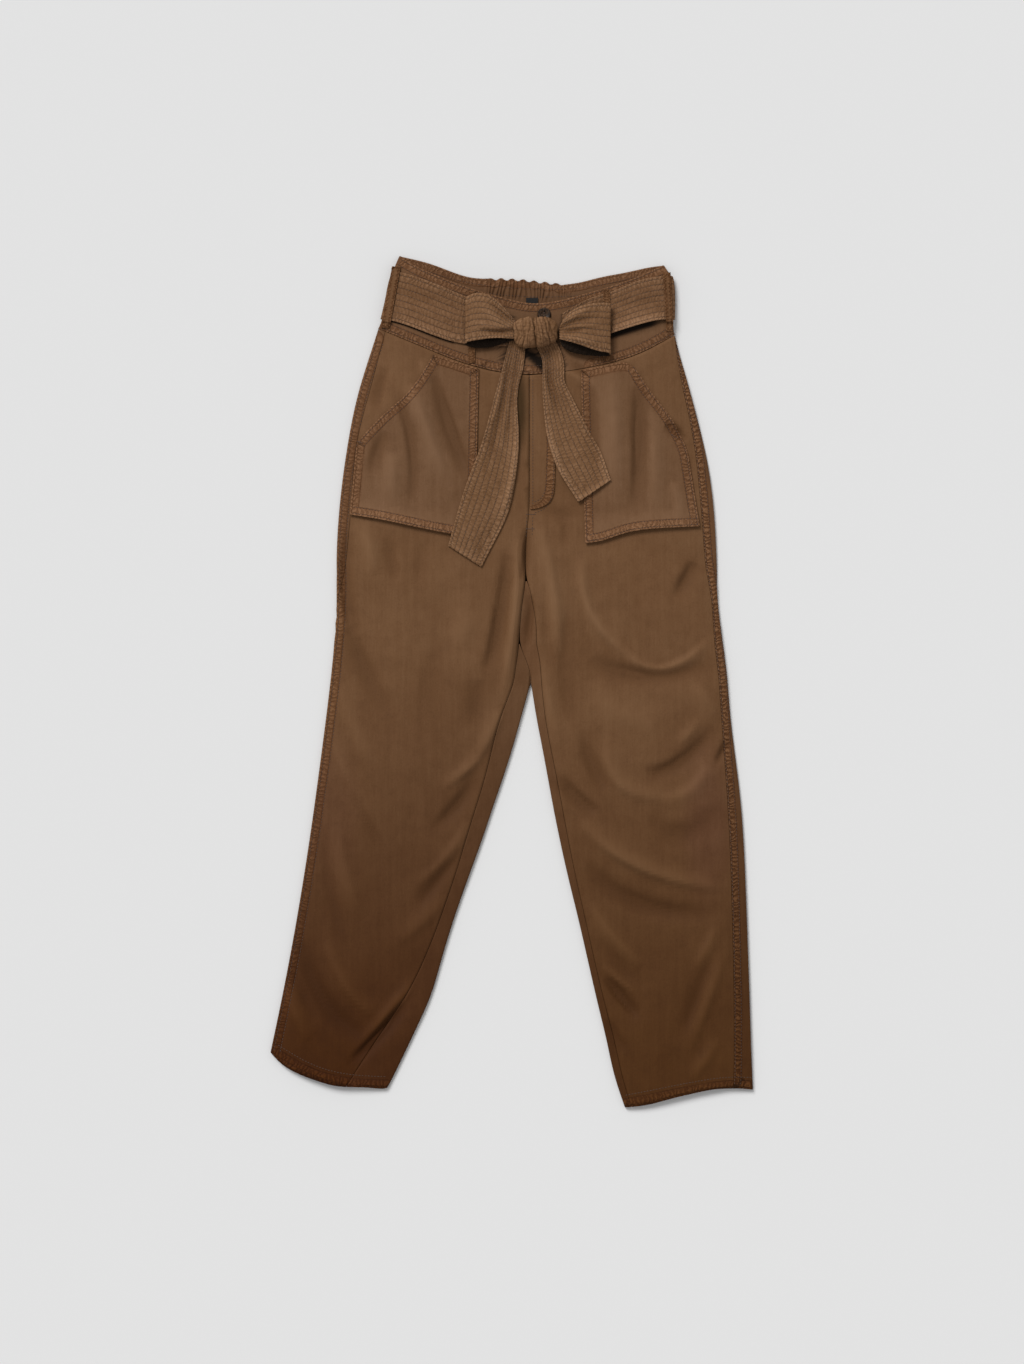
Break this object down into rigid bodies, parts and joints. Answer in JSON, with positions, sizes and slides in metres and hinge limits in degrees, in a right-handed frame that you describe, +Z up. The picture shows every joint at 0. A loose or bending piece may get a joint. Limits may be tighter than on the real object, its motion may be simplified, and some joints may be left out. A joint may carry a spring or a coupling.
{
  "type": "tapered trousers with a tie belt",
  "caption": "High-waisted tapered trousers laid flat, with slanted patch pockets, a gathered back waistband and a self-fabric belt tied in a bow.",
  "frame": {"origin": "on the surface that the garment lies on, under the middle of its bounding box", "axes": "+X to the viewer's right, +Y from the hems to the waist, +Z up from the surface, out of the garment's front"},
  "size_m": [0.5691, 1.0034, 0.0337],
  "materials": {
    "panel_twill": "soft brown twill with a low sheen",
    "pocket_twill": "the same twill, as a patch",
    "belt_twill": "the same twill, with rows of stitching",
    "label_satin": "dark woven satin",
    "button_horn": "dark brown imitation horn"
  },
  "bodies": {
    "root": {"front_left": "panel_twill", "front_right": "panel_twill", "back_left": "panel_twill", "back_right": "panel_twill", "waistband_front": "panel_twill", "waistband_back": "panel_twill", "pocket_left": "pocket_twill", "pocket_right": "pocket_twill", "fly": "panel_twill", "label": "label_satin", "button": "button_horn", "belt_left": "belt_twill", "belt_right": "belt_twill", "belt_back": "belt_twill", "belt_loop_side_left": "panel_twill", "belt_loop_side_right": "panel_twill", "belt_loop_front_left": "panel_twill", "belt_loop_front_right": "panel_twill", "belt_loop_back": "panel_twill", "knot": "belt_twill", "bow_loop_left": "belt_twill", "bow_loop_right": "belt_twill", "tail_left": "belt_twill", "tail_right": "belt_twill"}
  },
  "joints": []
}
